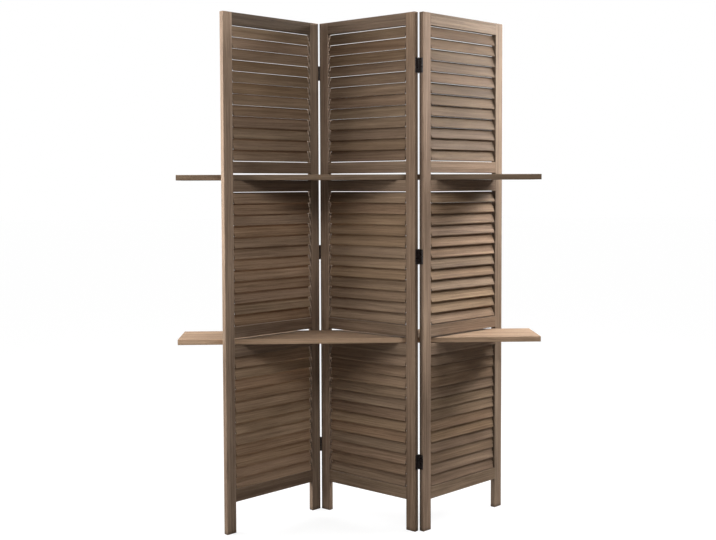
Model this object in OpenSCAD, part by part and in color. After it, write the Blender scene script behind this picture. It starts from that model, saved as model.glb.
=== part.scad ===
// Three-panel folding screen with pivoting slats and two long shelves that pass through all the
// panels. Millimetres, +Z up. The origin lies on the floor under the middle of the shelves, +X runs
// along the shelves to the right and +Y points to the back of the screen.

/* [Panels] */
// Width of one panel
panel_w = 402; // [360:1:460]
// Height of one panel, legs included
panel_h = 1700; // [1500:10:1900]
// Thickness of the frame timber
panel_t = 18; // [17:0.5:24]
// Width of a stile, seen from the front
stile_w = 36.5; // [32:0.5:45]
// Height of the top rail and of the bottom rail
end_rail_h = 40; // [30:1:60]
// Height of the rails under and over each shelf slot
shelf_rail_h = 38; // [30:1:50]
// Height of the legs under the bottom rail
leg_h = 102; // [60:2:160]
// Radius of the eased edges of the timber
ease_r = 1.5; // [1:0.5:3]
// Angle between each panel and the line of the shelves
stand_angle = 40.5; // [38:0.5:60]

/* [Slats] */
// Number of slats in each of the three openings of a panel
slat_count = 12; // [12:1:12]
// Thickness of a slat, with half-round edges
slat_t = 5; // [4:0.5:5.5]
// How much wider a slat is than the step from one slat to the next
slat_lap = 2.4; // [2:0.1:2.6]
// Gap between the rails and the nearest slat, if that slat stood upright
slat_rail_gap = 0.85; // [0.6:0.05:3]
// Lean of a nearly closed slat, top edge to the back
slat_lean = 18; // [16:0.5:22]
// Lean of the slats in the right panel's middle opening, left further open
right_middle_lean = 23; // [18:0.5:26]
// Lean of the slats in the right panel's lower opening, left further closed
right_lower_lean = 12; // [11:0.5:18]
// Most that one slat leans more or less than its neighbours, set by hand
lean_wander = 2; // [0:0.25:2]
// Gap between the end of a slat and the stile
slat_end_gap = 4.5; // [1:0.5:5]
// Diameter of the turned pivot on each end of a slat
pivot_d = 4; // [3:0.25:4.5]
// Length of a pivot inside the stile
pivot_reach = 8; // [6:0.5:10]
// Space between a pivot's tip and the bottom of its bore
pivot_end_play = 1; // [0.5:0.1:2]
// Radial running clearance of a pivot in its bore
pivot_clear = 0.05; // [0.02:0.01:0.1]

/* [Shelves] */
// Length of a shelf
shelf_l = 1200; // [1100:10:1400]
// Thickness of a shelf
shelf_t = 18; // [15:0.5:22]
// How far the shelves are pushed to the left of the centre panel's middle
shelf_shift = 29; // [0:1:60]
// Clearance between a shelf's edge and the stile, along the panel
shelf_side_gap = 7.7; // [4:0.1:15]
// Open height above a shelf in its slot
shelf_top_gap = 5; // [4:0.5:14]
// Gap under a shelf where it lies on its rails
shelf_seat_gap = 0.3; // [0.2:0.1:0.5]
// Radius of the eased edges of a shelf
shelf_ease_r = 2; // [1:0.5:4]

/* [Hinges] */
// Distance from a stile's outer edge to the hinge pin
hinge_reach = 1.8; // [1.6:0.1:2.4]
// How far the hinge pin stands out beyond the face of the timber
hinge_proud = 1; // [0.8:0.1:1.6]
// Length of a hinge along its pin
hinge_l = 48; // [40:1:60]
// Height of the lowest hinge above the floor
hinge_low_z = 230; // [200:1:260]
// Distance of the highest hinge below the top of the screen
hinge_top_inset = 171; // [150:1:200]
// How far the middle hinge lies above the halfway point of the other two
hinge_mid_rise = 28.5; // [0:0.5:60]
// Thickness of a hinge leaf
leaf_t = 1.2; // [1:0.1:1.5]
// Distance from a leaf's free edge to the face of the timber
leaf_margin = 2.2; // [1.5:0.1:3]
// Radius of a knuckle
knuckle_r = 2.2; // [2:0.1:2.3]
// Space around a knuckle
knuckle_clear = 0.2; // [0.15:0.05:0.3]
// Gap between two knuckles along the pin
knuckle_gap = 0.3; // [0.2:0.1:0.5]
// Diameter of the hinge pin
hinge_pin_d = 2.4; // [2:0.1:2.6]
// Radial running clearance of the hinge pin
hinge_pin_clear = 0.05; // [0.02:0.01:0.1]
// Height of the domed head on each end of the hinge pin
pin_head_h = 1.4; // [1:0.1:2]

/* [Joinery] */
// Diameter of the dowels that join the rails to the stiles
dowel_d = 6; // [5:0.5:8]
// Length of a dowel
dowel_l = 30; // [24:1:32]
// Distance between the two dowels at one end of a rail
dowel_step = 20; // [14:1:22]
// Radial clearance of a dowel in its hole
dowel_clear = 0.05; // [0.02:0.01:0.1]
// Space beyond each end of a dowel
dowel_end_gap = 0.5; // [0.5:0.1:1]
// Diameter of a hinge screw's shank
screw_d = 2.6; // [2:0.1:3]
// Length of a hinge screw
screw_l = 14; // [10:0.5:16]
// Diameter of a hinge screw's countersunk head
screw_head_d = 5; // [4.5:0.1:5.6]
// Distance between two screws along the hinge
screw_step = 16; // [13:0.5:18]
// How far the screws stand to either side of the leaf's middle line
screw_stagger = 2; // [0:0.25:2.5]
// Clearance around a screw and its head
screw_clear = 0.05; // [0.02:0.01:0.1]
// Length of each arm of the cross recess in a screw's head, from tip to tip
recess_l = 2.8; // [2:0.1:3.2]
// Width of the arms of the cross recess
recess_w = 0.7; // [0.5:0.05:0.9]
// Depth of the cross recess
recess_deep = 0.9; // [0.5:0.1:1.1]

/* [Hidden] */
$fn = 48;
ARC_FN = 24;
LEFT = -1;
CENTRE = 0;
RIGHT = 1;
LOWER = 0;
MIDDLE = 1;
UPPER = 2;
FRONT = -1;
BACK = 1;

stained = [0.45, 0.37, 0.31];
slat_colour = [0.50, 0.41, 0.34];
shelf_colour = [0.62, 0.52, 0.43];
dowel_colour = [0.80, 0.66, 0.48];
black_metal = [0.08, 0.08, 0.09];

inner_w = panel_w - 2 * stile_w;
slot_h = shelf_t + shelf_seat_gap + shelf_top_gap;
section_h = (panel_h - leg_h - 2 * end_rail_h - 4 * shelf_rail_h - 2 * slot_h) / 3;
slat_pitch = (section_h - 2 * slat_rail_gap - slat_lap) / slat_count;
slat_w = slat_pitch + slat_lap;
slat_l = inner_w - 2 * slat_end_gap;
pivot_bore = pivot_reach + pivot_end_play;

// The panel's plane cuts a shelf into a skewed section, which has to pass between the stiles
shelf_half_cut = inner_w / 2 - shelf_side_gap;
shelf_d = 2 * sin(stand_angle) * (shelf_half_cut - panel_t / 2 / tan(stand_angle));

pin_u = panel_w / 2 + hinge_reach;
pin_v = panel_t / 2 + hinge_proud;
panel_step = 2 * (pin_u * cos(stand_angle) + pin_v * sin(stand_angle));
knuckle_l = (hinge_l - 2 * knuckle_gap) / 3;
leaf_w = panel_t + hinge_proud - leaf_margin;
leaf_start = knuckle_r + knuckle_clear;
leaf_mid = (leaf_start + leaf_w) / 2;
pin_head_r = knuckle_r - knuckle_clear;
hinge_high_z = panel_h - hinge_top_inset;
hinge_mid_z = (hinge_low_z + hinge_high_z) / 2 + hinge_mid_rise;
hinge_zs = [hinge_low_z, hinge_mid_z, hinge_high_z];
dowel_hole = dowel_l / 2 + dowel_end_gap;

function section_z(s) = leg_h + end_rail_h + s * (section_h + 2 * shelf_rail_h + slot_h);
function slot_z(s) = section_z(s) + section_h + shelf_rail_h;
function slat_z(s, i) = section_z(s) + slat_rail_gap + slat_w / 2 + i * slat_pitch;
function set_lean(p, s) =
    p != RIGHT || s == UPPER ? slat_lean : s == MIDDLE ? right_middle_lean : right_lower_lean;
function lean_of(p, s, i) = set_lean(p, s) + lean_wander * sin(97 * i + 53 * s + 71 * p);
function panel_x(p) = shelf_shift + p * panel_step;
function panel_turn(p) = p == CENTRE ? -stand_angle : stand_angle;
function two_digits(n) = str(n < 10 ? "0" : "", n);

// Bottom and height of each of a panel's six rails
sill_zs = [for (s = [LOWER, MIDDLE]) slot_z(s) - shelf_rail_h];
header_zs = [for (s = [LOWER, MIDDLE]) slot_z(s) + slot_h];
shelf_rail_zs = concat(sill_zs, header_zs);
rail_centres = concat(
    [leg_h + end_rail_h / 2, panel_h - end_rail_h / 2],
    [for (z = shelf_rail_zs) z + shelf_rail_h / 2]
);

// Placing. In a panel's own frame +X runs along the panel, +Y to its back, and the middle is at 0

module at_panel(p) {
    translate([panel_x(p), 0, 0])
        rotate([0, 0, panel_turn(p)])
            children();
}

// Turns a shape drawn along +Z so that it lies along the panel, its Y upright
module lay_along() {
    rotate([90, 0, 90])
        children();
}

// Section with eased corners, made of two crossed bars and four rounds
module eased_section(w, t, r) {
    square([w - 2 * r, t], center = true);
    square([w, t - 2 * r], center = true);
    for (x = [-1, 1], y = [-1, 1])
        translate([x * (w / 2 - r), y * (t / 2 - r)])
            circle(r = r, $fn = ARC_FN);
}

// Frame

module dowel_bores(half_l) {
    for (z = [-dowel_step / 2, dowel_step / 2])
        translate([0, 0, z])
            rotate([0, 90, 0])
                cylinder(d = dowel_d + 2 * dowel_clear, h = 2 * half_l, center = true);
}

// A hinged edge of a panel: the panel, the end (-1 or 1) and the face that carries the pin
module at_hinge(p, end, face) {
    at_panel(p)
        for (z = hinge_zs)
            translate([end * pin_u, face * pin_v, z])
                mirror([end > 0 ? 0 : 1, 0, 0])
                    mirror([0, face > 0 ? 0 : 1, 0])
                        children();
}

// The screws' places on a leaf. In the hinge's frame the pin is at 0 and the leaf runs along -Y
module at_screws() {
    for (k = [-1, 0, 1])
        translate([-hinge_reach, -leaf_mid + screw_stagger * (2 * abs(k) - 1), k * screw_step])
            rotate([0, -90, 0])
                children();
}

module stile(p, end) {
    inner_u = end * inner_w / 2;
    at_panel(p)
        difference() {
            translate([end * (panel_w - stile_w) / 2, 0, 0])
                linear_extrude(panel_h)
                    eased_section(stile_w, panel_t, ease_r);
            for (s = [LOWER, MIDDLE, UPPER], i = [0 : slat_count - 1])
                translate([inner_u, 0, slat_z(s, i)])
                    rotate([0, 90, 0])
                        cylinder(d = pivot_d + 2 * pivot_clear, h = 2 * pivot_bore, center = true);
            for (z = rail_centres)
                translate([inner_u, 0, z])
                    dowel_bores(dowel_hole);
        }
}

module screw_hole() {
    translate([0, 0, -leaf_t])
        cylinder(d = screw_d + 2 * screw_clear, h = screw_l + screw_clear);
}

module hinged_stile(p, end, face) {
    color(stained)
        difference() {
            stile(p, end);
            at_hinge(p, end, face)
                at_screws()
                    screw_hole();
        }
}

module rail(p, z, h) {
    at_panel(p)
        difference() {
            translate([-inner_w / 2, 0, z + h / 2])
                lay_along()
                    linear_extrude(inner_w)
                        eased_section(panel_t, h, ease_r);
            for (end = [-1, 1])
                translate([end * inner_w / 2, 0, z + h / 2])
                    dowel_bores(dowel_hole);
        }
}

module top_rail(p) {
    color(stained)
        rail(p, panel_h - end_rail_h, end_rail_h);
}

module bottom_rail(p) {
    color(stained)
        rail(p, leg_h, end_rail_h);
}

module shelf_rails(p) {
    color(stained)
        for (z = shelf_rail_zs)
            rail(p, z, shelf_rail_h);
}

module dowels(p) {
    color(dowel_colour)
        at_panel(p)
            for (end = [-1, 1], z = rail_centres, dz = [-dowel_step / 2, dowel_step / 2])
                translate([end * inner_w / 2, 0, z + dz])
                    rotate([0, 90, 0])
                        cylinder(d = dowel_d, h = dowel_l, center = true);
}

// Slats

// One slat, its pivots' axis along the panel at 0
module slat_blank() {
    translate([-slat_l / 2, 0, 0])
        lay_along()
            linear_extrude(slat_l)
                union() {
                    square([slat_t, slat_w - slat_t], center = true);
                    for (y = [-1, 1])
                        translate([0, y * (slat_w - slat_t) / 2])
                            circle(d = slat_t, $fn = ARC_FN);
                }
    rotate([0, 90, 0])
        cylinder(d = pivot_d, h = inner_w + 2 * pivot_reach, center = true);
}

module slat(p, s, i) {
    color(slat_colour)
        at_panel(p)
            translate([0, 0, slat_z(s, i)])
                rotate([-lean_of(p, s, i), 0, 0])
                    slat_blank();
}

module slats(p, s) {
    for (i = [0 : slat_count - 1])
        slat(p, s, i);
}

// Shelves

module shelf(s) {
    color(shelf_colour)
        translate([-shelf_l / 2, 0, slot_z(s) + shelf_seat_gap + shelf_t / 2])
            lay_along()
                linear_extrude(shelf_l)
                    eased_section(shelf_d, shelf_t, shelf_ease_r);
}

// Hinges. Each is a butt hinge, its leaves on the edges of the two stiles

// A leaf with the knuckles that k lists, from 0 at the bottom to 2 at the top
module hinge_leaf(k) {
    difference() {
        union() {
            translate([-hinge_reach, -leaf_w, -hinge_l / 2])
                cube([leaf_t, leaf_w - leaf_start, hinge_l]);
            for (n = k)
                translate([0, 0, -hinge_l / 2 + n * (knuckle_l + knuckle_gap)]) {
                    cylinder(r = knuckle_r, h = knuckle_l);
                    translate([-hinge_reach, -leaf_start - 1, 0])
                        cube([leaf_t, leaf_start + 1, knuckle_l]);
                }
        }
        cylinder(d = hinge_pin_d + 2 * hinge_pin_clear, h = hinge_l + 1, center = true);
        at_screws()
            screw_blank(screw_clear);
    }
}

// A countersunk screw, drawn from its head's face at the bottom, larger all round by grow
module screw_blank(grow) {
    translate([0, 0, -leaf_t - 0.01])
        cylinder(d1 = screw_head_d + 2 * grow, d2 = screw_d + 2 * grow, h = leaf_t + 0.01);
    translate([0, 0, -leaf_t])
        cylinder(d = screw_d + 2 * grow, h = screw_l);
}

module screw() {
    difference() {
        screw_blank(0);
        translate([0, 0, -leaf_t])
            for (turn = [0, 90])
                rotate([0, 0, turn])
                    cube([recess_l, recess_w, 2 * recess_deep], center = true);
    }
}

module leaves(p, end, face, k) {
    color(black_metal)
        at_hinge(p, end, face)
            hinge_leaf(k);
}

module screws(p, end, face) {
    color(black_metal)
        at_hinge(p, end, face)
            at_screws()
                screw();
}

module hinge_pin() {
    cylinder(d = hinge_pin_d, h = hinge_l + 2 * knuckle_gap, center = true);
    for (m = [0, 1])
        mirror([0, 0, m])
            translate([0, 0, hinge_l / 2 + knuckle_gap])
                cylinder(r1 = pin_head_r, r2 = pin_head_r * 0.6, h = pin_head_h);
}

OUTER_KNUCKLES = [0, 2];
INNER_KNUCKLES = [1];

// Sub-parts

module left_outer_stile() {
    color(stained)
        stile(LEFT, -1);
}

module left_hinge_stile() {
    hinged_stile(LEFT, 1, FRONT);
}

module centre_left_stile() {
    hinged_stile(CENTRE, -1, FRONT);
}

module centre_right_stile() {
    hinged_stile(CENTRE, 1, BACK);
}

module right_hinge_stile() {
    hinged_stile(RIGHT, -1, BACK);
}

module right_outer_stile() {
    color(stained)
        stile(RIGHT, 1);
}

module left_hinge_leaves() {
    leaves(LEFT, 1, FRONT, INNER_KNUCKLES);
}

module centre_hinge_leaves() {
    leaves(CENTRE, -1, FRONT, OUTER_KNUCKLES);
    leaves(CENTRE, 1, BACK, OUTER_KNUCKLES);
}

module right_hinge_leaves() {
    leaves(RIGHT, -1, BACK, INNER_KNUCKLES);
}

module centre_hinge_screws() {
    screws(CENTRE, -1, FRONT);
    screws(CENTRE, 1, BACK);
}

module hinge_pins() {
    color(black_metal) {
        at_hinge(CENTRE, -1, FRONT)
            hinge_pin();
        at_hinge(CENTRE, 1, BACK)
            hinge_pin();
    }
}

left_outer_stile();
left_hinge_stile();
top_rail(LEFT);  // left_top_rail
bottom_rail(LEFT);  // left_bottom_rail
shelf_rails(LEFT);  // left_shelf_rails
dowels(LEFT);  // left_dowels
left_hinge_leaves();
screws(LEFT, 1, FRONT);  // left_hinge_screws
slats(LEFT, UPPER);  // left_upper_slats
slats(LEFT, MIDDLE);  // left_middle_slats
slats(LEFT, LOWER);  // left_lower_slats
centre_left_stile();
centre_right_stile();
top_rail(CENTRE);  // centre_top_rail
bottom_rail(CENTRE);  // centre_bottom_rail
shelf_rails(CENTRE);  // centre_shelf_rails
dowels(CENTRE);  // centre_dowels
centre_hinge_leaves();
centre_hinge_screws();
hinge_pins();
slats(CENTRE, UPPER);  // centre_upper_slats
slats(CENTRE, MIDDLE);  // centre_middle_slats
slats(CENTRE, LOWER);  // centre_lower_slats
right_hinge_stile();
right_outer_stile();
top_rail(RIGHT);  // right_top_rail
bottom_rail(RIGHT);  // right_bottom_rail
shelf_rails(RIGHT);  // right_shelf_rails
dowels(RIGHT);  // right_dowels
right_hinge_leaves();
screws(RIGHT, -1, BACK);  // right_hinge_screws
slats(RIGHT, UPPER);  // right_upper_slats
for (i = [1 : slat_count]) {
    slat(RIGHT, MIDDLE, i - 1);
    slat(RIGHT, LOWER, i - 1);
}
shelf(LOWER);  // lower_shelf
shelf(MIDDLE);  // upper_shelf
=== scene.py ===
"""Looks of the slatted folding screen: stained wood, black hinges, white studio and camera."""

import math
import zlib

import bpy
from mathutils import Matrix, Vector


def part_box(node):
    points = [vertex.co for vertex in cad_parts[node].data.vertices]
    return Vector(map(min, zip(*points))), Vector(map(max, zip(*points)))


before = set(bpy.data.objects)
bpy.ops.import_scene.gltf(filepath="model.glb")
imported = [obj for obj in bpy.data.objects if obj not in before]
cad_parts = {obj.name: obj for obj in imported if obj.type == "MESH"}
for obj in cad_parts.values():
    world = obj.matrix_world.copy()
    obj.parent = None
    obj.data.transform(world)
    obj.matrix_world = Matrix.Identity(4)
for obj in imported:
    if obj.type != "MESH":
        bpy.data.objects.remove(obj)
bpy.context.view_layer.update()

MM = 0.001
NOISE_MIDDLE = 0.5

# What the frame doesn't say about the screen
STAND_ANGLE = math.radians(40.5)  # between a panel and the line of the shelves
SLATS_PER_OPENING = 12

# Camera, in metres and in pixels of the photograph's frame
FRAME_W = 716
FRAME_H = 540
FOCAL_PX = 1011.0
PRINCIPAL_Y_PX = 231.8  # below the frame's top
SENSOR_W = 36.0
CAMERA_AT = Vector((-0.148, -3.408, 1.146))
CAMERA_YAW = math.radians(2.43)  # towards +X
CAMERA_PITCH = math.radians(2.71)  # down
CAMERA_ROLL = math.radians(-0.195)  # a positive roll lifts the camera's right side
CAMERA_SEES_TO = 200.0


# Node helpers


def add(tree, kind, inputs=None, **settings):
    """Adds a node. inputs maps a socket's name or number to a value or to another node's output."""
    node = tree.nodes.new(kind)
    for name, value in settings.items():
        setattr(node, name, value)
    for key, value in (inputs or {}).items():
        socket = node.inputs[key]
        if isinstance(value, bpy.types.NodeSocket):
            tree.links.new(value, socket)
        else:
            socket.default_value = value
    return node


def math_node(tree, operation, a, b=0.0):
    return add(tree, "ShaderNodeMath", {0: a, 1: b}, operation=operation).outputs[0]


def vector_node(tree, operation, a, b):
    return add(tree, "ShaderNodeVectorMath", {0: a, 1: b}, operation=operation).outputs[0]


def remap(tree, value, source, target):
    """Maps value from one range to another, each a pair of its ends, and stops at the ends."""
    sockets = {
        "Value": value,
        "From Min": source[0],
        "From Max": source[1],
        "To Min": target[0],
        "To Max": target[1],
    }
    return add(tree, "ShaderNodeMapRange", sockets).outputs[0]


def stretched_noise(tree, at, scale, detail, roughness):
    """Noise whose cells have their own size along each axis. scale is in cells a metre."""
    place = vector_node(tree, "MULTIPLY", at, scale)
    sockets = {"Vector": place, "Scale": 1.0, "Detail": detail, "Roughness": roughness}
    return add(tree, "ShaderNodeTexNoise", sockets).outputs["Fac"]


def ramp(tree, value, stops):
    """The colour at value, between stops of a position and a colour."""
    node = add(tree, "ShaderNodeValToRGB", {"Fac": value})
    elements = node.color_ramp.elements
    while len(elements) < len(stops):
        elements.new(0.5)
    for element, (position, colour) in zip(elements, stops):
        element.position = position
        element.color = (*colour, 1.0)
    return node.outputs["Color"]


def mix_colour(tree, factor, a, b):
    """Colour a where factor is 0 and colour b where it's 1."""
    node = add(tree, "ShaderNodeMix", {"Factor": factor}, data_type="RGBA")
    rgba = [s for s in node.inputs if s.type == "RGBA"]
    for socket, value in zip(rgba, (a, b)):
        if isinstance(value, bpy.types.NodeSocket):
            tree.links.new(value, socket)
        else:
            socket.default_value = (*value, 1.0)
    return next(s for s in node.outputs if s.type == "RGBA")


def new_material(name):
    """A material and its node tree, still empty."""
    material = bpy.data.materials.new(name)
    material.use_nodes = True
    material.node_tree.nodes.clear()
    return material, material.node_tree


def surface(tree, sockets):
    """Ends a material's tree with its shader."""
    shader = add(tree, "ShaderNodeBsdfPrincipled", sockets)
    add(tree, "ShaderNodeOutputMaterial", {"Surface": shader.outputs[0]})


# Wear, and painted shade in corners

PROBE_RAYS = 4  # for each of the bevel and ambient occlusion nodes
CORNER_REACH = 14 * MM


def edge_mask(tree, radius, turn):
    """1 along sharp and eased edges, 0 on flat faces.

    turn holds the cosines between the rounded and the true normal where the mask begins and where
    it is full.
    """
    soft = add(tree, "ShaderNodeBevel", {"Radius": radius}, samples=PROBE_RAYS).outputs["Normal"]
    true = add(tree, "ShaderNodeNewGeometry").outputs["True Normal"]
    along = add(tree, "ShaderNodeVectorMath", {0: soft, 1: true}, operation="DOT_PRODUCT")
    return remap(tree, along.outputs["Value"], turn, (0.0, 1.0))


def painted_corner_shade(tree, openness, deepest):
    """Painted shade: 1 on open faces, down to deepest in narrow gaps and corners, where shade
    falls.
    """
    probe = {"Distance": CORNER_REACH}
    nearby = add(tree, "ShaderNodeAmbientOcclusion", probe, samples=PROBE_RAYS).outputs["AO"]
    return remap(tree, nearby, openness, (deepest, 1.0))


# Wood

# Colours from the darkest grain to the lightest
STAIN = [
    (0.00, (0.060, 0.036, 0.022)),
    (0.36, (0.155, 0.100, 0.062)),
    (0.58, (0.245, 0.164, 0.104)),
    (1.00, (0.430, 0.307, 0.204)),
]
SHELF_STAIN = [
    (0.00, (0.090, 0.055, 0.033)),
    (0.36, (0.215, 0.141, 0.086)),
    (0.58, (0.325, 0.220, 0.140)),
    (1.00, (0.520, 0.375, 0.250)),
]
BARE = [
    (0.00, (0.36, 0.22, 0.12)),
    (0.50, (0.58, 0.40, 0.24)),
    (1.00, (0.72, 0.54, 0.36)),
]
WORN = (0.42, 0.32, 0.23)

# Two nodes' boards get numbers from two places in a row of this length, so they look different
NUMBERS = 100

# Noises of the grain: cells a metre along the board and across it, detail, roughness
FIBRE = ((9.0, 420.0, 420.0), 4.0, 0.7)
STREAK = ((2.2, 95.0, 95.0), 3.0, 0.6)
BLOTCH = ((4.0, 16.0, 16.0), 2.0, 0.5)
PORE = ((38.0, 1300.0, 1300.0), 2.0, 0.5)
PORE_NOISE = (0.30, 0.40)  # a pore is deepest below the first and ends at the second

# Growth rings, in metres where they have a size
LOG_SPREAD = (7.0, 3.0, 5.0)  # how far apart in the log two boards can be cut
BEND_CELLS = (1.3, 5.0, 5.0)
BEND_DETAIL = 2.0
BEND_SIZE = (0.0, 0.030, 0.030)
PITH_OFFSET = (0.5, 1.1, 0.5)  # as a part of PITH_SPREAD, so that the pith is outside the board
PITH_SPREAD = (0.0, 0.10, 0.16)
RINGS = {"Scale": 52.0, "Distortion": 1.2, "Detail": 2.0, "Detail Scale": 30.0}

# How much each part of the grain changes the place in the row of colours
MIDDLE_COLOUR = 0.46
RING_WEIGHT = 0.10
FIBRE_WEIGHT = 0.62
STREAK_WEIGHT = 0.62
BLOTCH_WEIGHT = 0.42
PORE_WEIGHT = 0.16

# Relief, as parts of the fibres' height
RING_RELIEF = 0.35
PORE_RELIEF = 0.8
WOOD_BUMP = {"Strength": 0.55, "Distance": 0.35 * MM}

# Edges, worn more where the blotches are light
WOOD_EDGE = 1.6 * MM
WOOD_EDGE_TURN = (0.985, 0.86)
WEAR_BLOTCH = (0.42, 0.60)
WEAR = (0.10, 0.55)

# Painted shade in corners: the openness over which it lightens, and how dark the deepest is
STILE_PAINTED_SHADE = ((0.35, 0.95), 0.30)
BOARD_PAINTED_SHADE = ((0.25, 0.80), 0.55)

# Shine, duller over this range of the fibres
GLOSS_FIBRE = (0.3, 0.7)
WOOD_ROUGHNESS = (0.58, 0.78)
SHELF_SPECULAR = 0.35
SPECULAR = 0.12

# How the boards differ from each other by chance
HUE = (0.496, 0.503)
SATURATION = (0.95, 1.06)
FRAME_SATURATION = 0.90  # of the stiles and rails, against the slats and shelves
SLAT_SPREAD = 0.07
BOARD_SPREAD = 0.12

# Painted light on the lower shelf's front and back faces: how much lighter they are than its top,
# and how squarely a face has to look to the front or back to be one of them, partly and fully
RIM_LIGHT_GAIN = 1.52
RIM_FACING = (0.4, 0.9)

# Partly each board's own tone and partly painted light and shade that the lamps don't give: how
# much lighter or darker a board is than the rest, by the start of its node's name
TONES_AND_PAINTED_LIGHT = {
    "left_outer_stile": 1.53,
    "left_hinge_stile": 1.16,
    "left_top_rail": 0.55,
    "left_upper_slats": 1.02,
    "left_middle_slats": 1.31,
    "left_lower_slats": 1.60,
    "centre_left_stile": 1.38,
    "centre_right_stile": 1.08,
    "centre_upper_slats": 0.90,
    "centre_middle_slats": 1.14,
    "centre_lower_slats": 1.16,
    "right_upper_slats": 0.72,
    "right_hinge_stile": 1.10,
    "right_outer_stile": 1.14,
    "right_middle_slat": 1.12,
    "right_lower_slat": 0.97,
    "upper_shelf": 0.68,
    "lower_shelf": 1.30,
}


def seed_of(name):
    """A number from 0 to 1 that belongs to a name and is the same each run."""
    return zlib.crc32(name.encode()) / 0xFFFFFFFF


# A board's tone by its name, partly painted light and shade
def tone_and_painted_light_of(name):
    return next((tone_and_light for start, tone_and_light in TONES_AND_PAINTED_LIGHT.items() if name.startswith(start)), 1.0)


def grain_frame(tree, node, along, turn, pieces):
    """Board coordinates (x along the grain, from the node's middle) and a number for each board.

    pieces is how many boards the node holds, one above the other.
    """
    low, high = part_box(node)
    middle = (low + high) / 2
    place = add(tree, "ShaderNodeTexCoord").outputs["Object"]
    local = vector_node(tree, "SUBTRACT", place, middle)
    spin = {"Vector": local, "Angle": -turn}
    local = add(tree, "ShaderNodeVectorRotate", spin, rotation_type="Z_AXIS").outputs[0]
    axes = add(tree, "ShaderNodeSeparateXYZ", {0: local})
    x, y, z = axes.outputs
    number = 0.0
    if pieces > 1:
        pitch = (high.z - low.z) / pieces
        number = math_node(tree, "FLOOR", math_node(tree, "DIVIDE", z, pitch))
        z = math_node(tree, "SUBTRACT", z, math_node(tree, "MULTIPLY", number, pitch))
        z = math_node(tree, "SUBTRACT", z, pitch / 2)
    order = (z, y, x) if along == "Z" else (x, y, z)
    board = add(tree, "ShaderNodeCombineXYZ", dict(enumerate(order))).outputs[0]
    piece = math_node(tree, "ADD", number, NUMBERS * seed_of(node))
    return board, piece


def growth_rings(tree, board, log, chance):
    """Rings about a pith that lies outside the board, bent by slow waves along it."""
    place = vector_node(tree, "MULTIPLY", log, BEND_CELLS)
    waves = {"Vector": place, "Scale": 1.0, "Detail": BEND_DETAIL}
    bend = add(tree, "ShaderNodeTexNoise", waves).outputs["Color"]
    bend = vector_node(tree, "SUBTRACT", bend, [NOISE_MIDDLE] * 3)
    bend = vector_node(tree, "MULTIPLY", bend, BEND_SIZE)
    pith = vector_node(tree, "SUBTRACT", chance, PITH_OFFSET)
    pith = vector_node(tree, "MULTIPLY", pith, PITH_SPREAD)
    centred = vector_node(tree, "ADD", vector_node(tree, "ADD", board, bend), pith)
    return add(
        tree,
        "ShaderNodeTexWave",
        {"Vector": centred, **RINGS},
        wave_type="RINGS",
        rings_direction="X",
        wave_profile="SAW",
    ).outputs["Fac"]


def lightness(tree, node, pick, rim_light):
    """How light a board is: by its name, by pick from 0 to 1, and by painted light and shade."""
    # The tone by name is partly the board's own and partly painted light and shade
    tone_and_light = tone_and_painted_light_of(node)
    spread = SLAT_SPREAD if "slat" in node else BOARD_SPREAD
    value = remap(tree, pick, (0.0, 1.0), ((1 - spread) * tone_and_light, (1 + spread) * tone_and_light))
    # Painted shade in corners and gaps, deepest on the stiles; the slats get none
    if node.endswith("stile"):
        value = math_node(tree, "MULTIPLY", value, painted_corner_shade(tree, *STILE_PAINTED_SHADE))
    elif "slat" not in node:
        value = math_node(tree, "MULTIPLY", value, painted_corner_shade(tree, *BOARD_PAINTED_SHADE))
    # Painted light: faces that look to the front or back are painted lighter than the top
    if rim_light != 1.0:
        facing = add(tree, "ShaderNodeNewGeometry").outputs["True Normal"]
        facing = add(tree, "ShaderNodeSeparateXYZ", {0: facing}).outputs[1]
        facing = math_node(tree, "ABSOLUTE", facing)
        rim_lit = remap(tree, facing, RIM_FACING, (1.0, rim_light))
        value = math_node(tree, "MULTIPLY", value, rim_lit)
    return value


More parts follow.
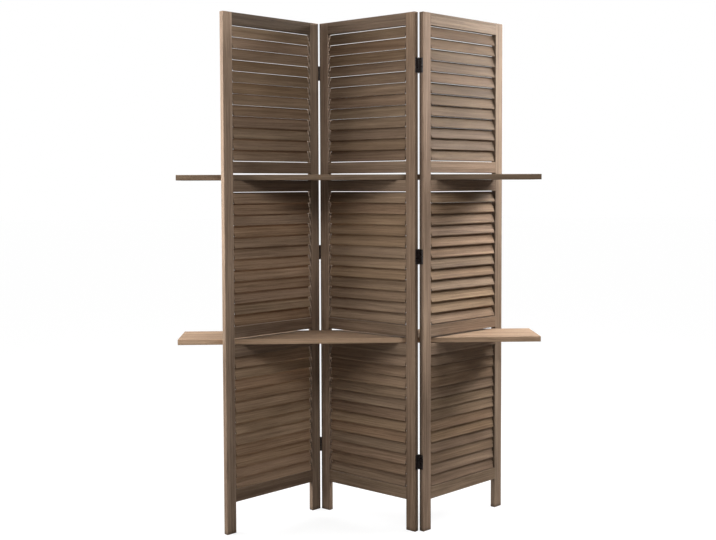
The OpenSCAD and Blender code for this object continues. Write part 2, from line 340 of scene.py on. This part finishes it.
def wood(node, along, turn=0.0, pieces=1, stops=STAIN, rim_light=1.0):
    """Stained or bare wood for one CAD node, its grain along the board.

    turn is the board's angle about Z, pieces is how many boards the node holds, and the last one is
    how much lighter their front and back faces are painted than their tops, as painted light.
    """
    material, tree = new_material("wood_" + node)
    board, piece = grain_frame(tree, node, along, turn, pieces)
    dice = add(tree, "ShaderNodeTexWhiteNoise", {"W": piece}, noise_dimensions="1D")
    chance = dice.outputs["Color"]
    pick_hue, pick_saturation, pick_value = add(
        tree, "ShaderNodeSeparateColor", {0: chance}
    ).outputs
    shift = vector_node(tree, "MULTIPLY", chance, LOG_SPREAD)
    log = vector_node(tree, "ADD", board, shift)

    rings = growth_rings(tree, board, log, chance)
    fibre = stretched_noise(tree, log, *FIBRE)
    streak = stretched_noise(tree, log, *STREAK)
    blotch = stretched_noise(tree, log, *BLOTCH)
    pore = remap(tree, stretched_noise(tree, log, *PORE), PORE_NOISE, (1.0, 0.0))

    grain = math_node(tree, "MULTIPLY", rings, RING_WEIGHT)
    weights = ((fibre, FIBRE_WEIGHT), (streak, STREAK_WEIGHT), (blotch, BLOTCH_WEIGHT))
    for part, weight in weights:
        part = math_node(tree, "SUBTRACT", part, NOISE_MIDDLE)
        part = math_node(tree, "MULTIPLY", part, weight)
        grain = math_node(tree, "ADD", grain, part)
    grain = math_node(tree, "ADD", grain, MIDDLE_COLOUR)
    grain = math_node(tree, "SUBTRACT", grain, math_node(tree, "MULTIPLY", pore, PORE_WEIGHT))
    colour = ramp(tree, grain, stops)
    edge = edge_mask(tree, WOOD_EDGE, WOOD_EDGE_TURN)
    worn = math_node(tree, "MULTIPLY", edge, remap(tree, blotch, WEAR_BLOTCH, WEAR))
    colour = mix_colour(tree, worn, colour, WORN)

    value = lightness(tree, node, pick_value, rim_light)
    strength = FRAME_SATURATION if node.endswith(("stile", "rail", "rails")) else 1.0
    saturation = (SATURATION[0] * strength, SATURATION[1] * strength)
    tint = {
        "Hue": remap(tree, pick_hue, (0.0, 1.0), HUE),
        "Saturation": remap(tree, pick_saturation, (0.0, 1.0), saturation),
        "Value": value,
        "Color": colour,
    }
    colour = add(tree, "ShaderNodeHueSaturation", tint).outputs[0]

    height = math_node(tree, "ADD", fibre, math_node(tree, "MULTIPLY", rings, RING_RELIEF))
    height = math_node(tree, "SUBTRACT", height, math_node(tree, "MULTIPLY", pore, PORE_RELIEF))
    bump = add(tree, "ShaderNodeBump", {"Height": height, **WOOD_BUMP})
    shader = {
        "Base Color": colour,
        "Roughness": remap(tree, fibre, GLOSS_FIBRE, WOOD_ROUGHNESS),
        "Specular IOR Level": SHELF_SPECULAR if node.endswith("shelf") else SPECULAR,
        "Normal": bump.outputs[0],
    }
    surface(tree, shader)
    return material


# Black metal

# Noises: cells a metre along each axis, detail, roughness
CLOUD = ((160.0, 160.0, 160.0), 3.0, 0.6)
SPECK = ((1500.0, 1500.0, 1500.0), 2.0, 0.5)
LACQUER = [(0.3, (0.011, 0.007, 0.006)), (0.7, (0.034, 0.023, 0.021))]
STEEL = (0.42, 0.40, 0.38)
METAL_BUMP = {"Strength": 0.25, "Distance": 0.05 * MM}

# Edges, rubbed bare where the clouds are light
METAL_EDGE = 0.5 * MM
METAL_EDGE_TURN = (0.98, 0.80)
RUB_CLOUD = (0.45, 0.62)
RUB = (0.0, 0.8)
METAL_FROM_RUB = (0.0, 0.5)  # bare steel from the second on

# Shine, duller over this range of the clouds
GLOSS_CLOUD = (0.3, 0.7)
ROUGHNESS_SPREAD = 0.14
HINGE_ROUGHNESS = 0.24
SCREW_ROUGHNESS = 0.36


def black_metal(name, roughness):
    """Black lacquered steel, rubbed bright along its edges."""
    material, tree = new_material(name)
    place = add(tree, "ShaderNodeTexCoord").outputs["Object"]
    cloud = stretched_noise(tree, place, *CLOUD)
    speck = stretched_noise(tree, place, *SPECK)
    edge = edge_mask(tree, METAL_EDGE, METAL_EDGE_TURN)
    rubbed = math_node(tree, "MULTIPLY", edge, remap(tree, cloud, RUB_CLOUD, RUB))
    lacquer = ramp(tree, cloud, LACQUER)
    colour = mix_colour(tree, rubbed, lacquer, STEEL)
    bump = add(tree, "ShaderNodeBump", {"Height": speck, **METAL_BUMP})
    sheen = (roughness, roughness + ROUGHNESS_SPREAD)
    shader = {
        "Base Color": colour,
        "Metallic": remap(tree, rubbed, METAL_FROM_RUB, (0.0, 1.0)),
        "Roughness": remap(tree, cloud, GLOSS_CLOUD, sheen),
        "Normal": bump.outputs[0],
    }
    surface(tree, shader)
    return material


def dress():
    """Gives each CAD node its finish, by the kind of piece that its name says."""
    hinge_metal = black_metal("hinge_black", HINGE_ROUGHNESS)
    screw_metal = black_metal("screw_black", SCREW_ROUGHNESS)
    for name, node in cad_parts.items():
        turn = -STAND_ANGLE if name.startswith("centre") else STAND_ANGLE
        if name.endswith("stile"):
            material = wood(name, "Z", turn)
        elif name.endswith(("rail", "rails")) or "_slat_" in name:
            material = wood(name, "X", turn)
        elif name.endswith("slats"):
            material = wood(name, "X", turn, pieces=SLATS_PER_OPENING)
        elif name.endswith("shelf"):
            # Painted light on the lower shelf's front and back faces
            rim_light = RIM_LIGHT_GAIN if name == "lower_shelf" else 1.0
            material = wood(name, "X", stops=SHELF_STAIN, rim_light=rim_light)
        elif name.endswith("dowels"):
            material = wood(name, "X", turn, stops=BARE)
        elif name.endswith("screws"):
            material = screw_metal
        else:
            material = hinge_metal
        for slot in node.material_slots:
            slot.material = material


# Studio. What the camera sees of the floor and the room is whiter than the light that they give

WHITE = (1, 1, 1, 1)
FLOOR_SIDE = 60.0
FLOOR_UNSEEN = (0.40, 0.40, 0.40)
FLOOR_SEEN = (0.20, 0.20, 0.20)  # under the glow, where it shows the screen's shadow
FLOOR_ROUGHNESS = 0.9
FLOOR_SPECULAR = 0.1
GLOW_DISTANCE = (0.5, 2.5)  # from the screen's middle
GLOW = (0.86, 0.95)

# The room's light by the Y part of its direction: dim in front of the screen, bright behind it
ROOM_DIRECTION = (0.0, 0.6)
ROOM_STRENGTH = (0.04, 0.42)

# Name, place, the point that it faces, width, height, radiance
LIGHTS = [
    ("key", (0.7, -1.6, 2.3), (0.2, 0, 1.0), 0.8, 0.8, 5.9),
    ("front_left", (-0.15, -0.95, 1.7), (-0.3, 0, 1.0), 0.5, 0.5, 2.2),
    ("right_side", (2.3, -0.1, 2.0), (0.4, 0, 1.1), 0.5, 0.5, 38.0),
    ("right_back", (1.5, 0.4, 1.8), (0.5, 0, 0.8), 0.6, 0.7, 25.5),
    ("back", (1.6, 1.3, 2.2), (0.5, 0, 0.65), 0.8, 0.8, 4.0),
    ("left_side", (-1.9, -0.2, 1.2), (-0.4, 0, 1.0), 1.3, 1.0, 6.5),
    ("left_edge", (-1.2, -0.35, 1.6), (-0.44, -0.13, 1.4), 0.4, 0.6, 8.5),
    ("left_back", (-1.9, 0.5, 1.7), (-0.5, 0, 0.9), 0.8, 0.8, 13.0),
]


def studio_floor():
    mesh = bpy.data.meshes.new("studio_floor")
    half = FLOOR_SIDE / 2
    corners = [(-half, -half, 0), (half, -half, 0), (half, half, 0), (-half, half, 0)]
    mesh.from_pydata(corners, [], [(0, 1, 2, 3)])
    floor = bpy.data.objects.new("studio_floor", mesh)
    bpy.context.scene.collection.objects.link(floor)
    material, tree = new_material("white_floor")
    seen = add(tree, "ShaderNodeLightPath").outputs["Is Camera Ray"]
    place = add(tree, "ShaderNodeTexCoord").outputs["Object"]
    away = add(tree, "ShaderNodeVectorMath", {0: place}, operation="LENGTH").outputs["Value"]
    shader = {
        "Base Color": mix_colour(tree, seen, FLOOR_UNSEEN, FLOOR_SEEN),
        "Roughness": FLOOR_ROUGHNESS,
        "Specular IOR Level": FLOOR_SPECULAR,
        "Emission Color": WHITE,
        "Emission Strength": math_node(
            tree, "MULTIPLY", seen, remap(tree, away, GLOW_DISTANCE, GLOW)
        ),
    }
    surface(tree, shader)
    mesh.materials.append(material)


def white_room():
    """A room that lights the screen from all round and that the camera sees as plain white."""
    world = bpy.data.worlds.new("white_room")
    bpy.context.scene.world = world
    world.use_nodes = True
    tree = world.node_tree
    tree.nodes.clear()
    direction = add(tree, "ShaderNodeTexCoord").outputs["Generated"]
    behind = add(tree, "ShaderNodeSeparateXYZ", {0: direction}).outputs[1]
    strength = remap(tree, behind, ROOM_DIRECTION, ROOM_STRENGTH)
    room = add(tree, "ShaderNodeBackground", {"Color": WHITE, "Strength": strength})
    white = add(tree, "ShaderNodeBackground", {"Color": WHITE, "Strength": 1.0})
    seen = add(tree, "ShaderNodeLightPath").outputs["Is Camera Ray"]
    both = add(tree, "ShaderNodeMixShader", {0: seen, 1: room.outputs[0], 2: white.outputs[0]})
    add(tree, "ShaderNodeOutputWorld", {"Surface": both.outputs[0]})


def area_light(name, at, towards, width, height, radiance):
    data = bpy.data.lights.new(name, "AREA")
    data.shape = "RECTANGLE"
    data.size = width
    data.size_y = height
    data.energy = radiance * math.pi * width * height
    light = bpy.data.objects.new(name, data)
    light.location = at
    light.rotation_mode = "QUATERNION"
    light.rotation_quaternion = (Vector(towards) - Vector(at)).to_track_quat("-Z", "Y")
    light.visible_camera = False
    bpy.context.scene.collection.objects.link(light)


def camera():
    """The photograph's camera. It is shifted down, so its principal point is above the middle."""
    forward = Vector(
        (
            math.sin(CAMERA_YAW) * math.cos(CAMERA_PITCH),
            math.cos(CAMERA_YAW) * math.cos(CAMERA_PITCH),
            -math.sin(CAMERA_PITCH),
        )
    )
    level_right = forward.cross(Vector((0, 0, 1))).normalized()
    level_up = level_right.cross(forward)
    right = level_right * math.cos(CAMERA_ROLL) + level_up * math.sin(CAMERA_ROLL)
    up = right.cross(forward)
    data = bpy.data.cameras.new("camera")
    data.sensor_width = SENSOR_W
    data.lens = FOCAL_PX * SENSOR_W / FRAME_W
    data.shift_y = (PRINCIPAL_Y_PX - FRAME_H / 2) / FRAME_W
    data.clip_end = CAMERA_SEES_TO
    shot = bpy.data.objects.new("camera", data)
    shot.matrix_world = Matrix(
        (
            (right.x, up.x, -forward.x, CAMERA_AT.x),
            (right.y, up.y, -forward.y, CAMERA_AT.y),
            (right.z, up.z, -forward.z, CAMERA_AT.z),
            (0, 0, 0, 1),
        )
    )
    bpy.context.scene.collection.objects.link(shot)
    bpy.context.scene.camera = shot


camera()
dress()
studio_floor()
white_room()
for light in LIGHTS:
    area_light(*light)
bpy.context.scene.view_settings.view_transform = "Standard"
